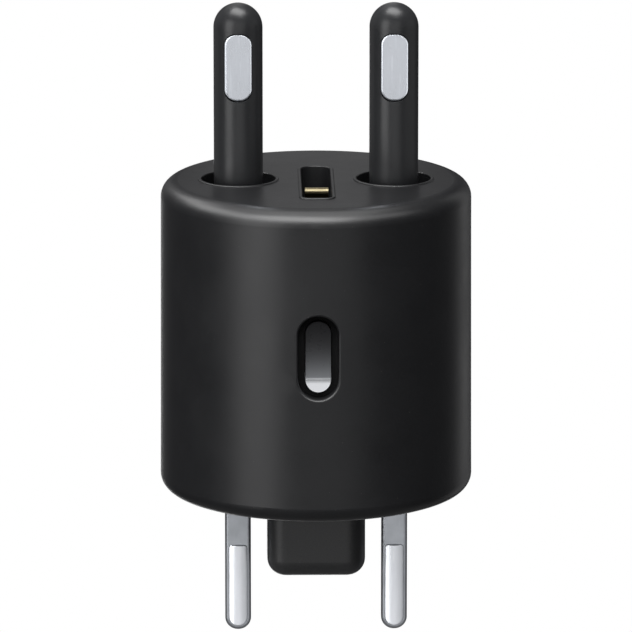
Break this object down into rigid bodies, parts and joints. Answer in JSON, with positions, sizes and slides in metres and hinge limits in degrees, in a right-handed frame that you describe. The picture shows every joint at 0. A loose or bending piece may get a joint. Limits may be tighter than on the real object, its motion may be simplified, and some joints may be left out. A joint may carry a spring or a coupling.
{
  "type": "smart plug",
  "caption": "Round smart plug adapter: insulated pins and a slotted contact on top, flat blades and a guide boss below, push button with status light in front.",
  "frame": {"origin": "centre of the flat underside that seats against the wall socket, on the body axis", "axes": "+Z along the body axis from the blades towards the round pins, -Y to the front where the button is, +X to the right seen from the front"},
  "size_m": [0.0384, 0.0384, 0.0789],
  "materials": {
    "black_body": "satin black moulded plastic",
    "black_pin": "satin black insulating plastic",
    "black_gloss": "glossy black plastic",
    "light_window": "milky translucent plastic",
    "silver_contact": "bright silver plate",
    "nickel_blade": "brushed nickel plate",
    "brass_contact": "brushed brass",
    "copper_bar": "bare copper",
    "steel": "zinc-plated steel",
    "iron": "grey soft iron",
    "copper_wire": "enamelled copper wire",
    "ferrite": "dark ferrite",
    "board_green": "green solder mask",
    "board_dark": "dark blue solder mask",
    "case_blue": "blue moulded case",
    "case_black": "black moulded component",
    "bobbin_white": "natural nylon",
    "sleeve_dark": "printed sleeve",
    "disc_blue": "blue epoxy coating",
    "tube_green": "green flameproof coating",
    "tin": "tinned metal",
    "gold": "gold-plated track"
  },
  "bodies": {
    "housing": {"body_shell": "black_body", "base_cover": "black_body", "guide_boss": "black_body", "pin_cup_left": "black_body", "pin_cup_right": "black_body", "slot_liner": "black_body", "base_screws": "steel", "overheat_sensor": "case_black", "pin_sheath_left": "black_pin", "pin_sheath_right": "black_pin", "pin_core_left": "nickel_blade", "pin_core_right": "nickel_blade", "contact_pad_left": "silver_contact", "contact_pad_right": "silver_contact", "pin_nuts": "steel", "bus_bar_left": "copper_bar", "bus_bar_right": "copper_bar", "centre_strap": "brass_contact", "blade_left": "nickel_blade", "blade_right": "nickel_blade", "blade_strip_left": "silver_contact", "blade_strip_right": "silver_contact", "button_frame": "black_gloss", "main_board": "board_green", "control_board": "board_green", "board_link_pins": "gold", "switch_body": "case_black", "status_light": "light_window", "radio_board": "board_dark", "radio_chip": "case_black", "radio_shield": "tin", "radio_aerial": "gold", "transformer_base": "case_black", "transformer_core": "ferrite", "transformer_winding": "copper_wire", "bulk_capacitor": "sleeve_dark", "varistor": "disc_blue", "fuse_resistor": "tube_green", "bridge_rectifier": "case_black", "power_meter_chip": "case_black", "relay_base": "case_blue", "relay_cover": "case_blue", "relay_bobbin": "bobbin_white", "relay_winding": "copper_wire", "relay_core": "iron", "relay_yoke": "iron", "relay_fixed_contact": "copper_bar"},
    "button": {"button_cap": "black_gloss", "button_lens": "light_window"},
    "plunger": {"switch_plunger": "bobbin_white"},
    "armature": {"relay_armature": "iron", "relay_contact_arm": "copper_bar"},
    "leaf": {"centre_contact": "brass_contact"}
  },
  "joints": [
    {"name": "button_press", "type": "slide", "parent": "housing", "child": "button", "axis": [0, 1, 0], "range_m": [0, 0.0005], "stiffness_N_per_m": 3000},
    {"name": "switch_press", "type": "slide", "parent": "housing", "child": "plunger", "axis": [0, 1, 0], "range_m": [0, 0.0005]},
    {"name": "relay_pull_in", "type": "hinge", "parent": "housing", "child": "armature", "pos_m": [-0.0079, 0.00695, 0.0204], "axis": [0, 1, 0], "range_deg": [0, 2.8], "stiffness_Nm_per_rad": 0.005},
    {"name": "leaf_flex", "type": "hinge", "parent": "housing", "child": "leaf", "pos_m": [0, -0.0046, 0.0306], "axis": [1, 0, 0], "range_deg": [-3, 3], "stiffness_Nm_per_rad": 0.16}
  ],
  "couplings": [
    {"joint": "switch_press", "follows": "button_press", "ratio": 1}
  ]
}
